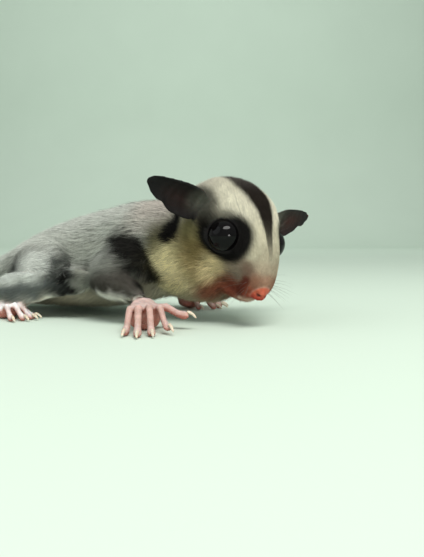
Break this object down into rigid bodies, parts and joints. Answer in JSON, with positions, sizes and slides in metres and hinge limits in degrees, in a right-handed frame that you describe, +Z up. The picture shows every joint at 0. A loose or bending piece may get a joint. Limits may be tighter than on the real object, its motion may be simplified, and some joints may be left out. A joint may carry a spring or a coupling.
{
  "type": "sugar glider",
  "caption": "Life-size still model of a young sugar glider crouched low on the floor, its large-eyed head turned aside and dipped, its soft tail laid out behind.",
  "frame": {"origin": "middle of the animal's outline seen from above, on the floor it stands on", "axes": "+X forwards along the trunk, +Y to the animal's left, +Z up"},
  "size_m": [0.165, 0.0816, 0.0351],
  "materials": {
    "grey_fur": "soft silver-grey agouti fur",
    "cream_fur": "short cream fur with dark brown markings",
    "dark_fur": "soft charcoal fur",
    "pink_skin": "bare pink skin with sparse white hairs",
    "nose_skin": "moist pink skin",
    "ear_skin": "thin dark bare skin with a soft sheen",
    "eye": "wet, glossy, near black",
    "claw": "pale translucent horn"
  },
  "bodies": {
    "root": {"head": "cream_fur", "lower_jaw": "cream_fur", "nose_pad": "nose_skin", "eye_right": "eye", "ear_right": "ear_skin", "eye_left": "eye", "ear_left": "ear_skin", "neck": "cream_fur", "trunk": "grey_fur", "tail_1": "grey_fur", "tail_2": "grey_fur", "tail_3": "dark_fur", "upper_arm_right": "grey_fur", "forearm_right": "dark_fur", "hand_right": "pink_skin", "claw_hand_right_1": "claw", "claw_hand_right_2": "claw", "claw_hand_right_3": "claw", "claw_hand_right_4": "claw", "claw_hand_right_5": "claw", "thigh_right": "grey_fur", "shank_right": "grey_fur", "foot_right": "pink_skin", "claw_foot_right_2": "claw", "claw_foot_right_3": "claw", "claw_foot_right_4": "claw", "claw_foot_right_5": "claw", "gliding_membrane_right": "dark_fur", "upper_arm_left": "grey_fur", "forearm_left": "dark_fur", "hand_left": "pink_skin", "claw_hand_left_1": "claw", "claw_hand_left_2": "claw", "claw_hand_left_3": "claw", "claw_hand_left_4": "claw", "claw_hand_left_5": "claw", "thigh_left": "grey_fur", "shank_left": "grey_fur", "foot_left": "pink_skin", "claw_foot_left_2": "claw", "claw_foot_left_3": "claw", "claw_foot_left_4": "claw", "claw_foot_left_5": "claw", "gliding_membrane_left": "dark_fur"}
  },
  "joints": []
}
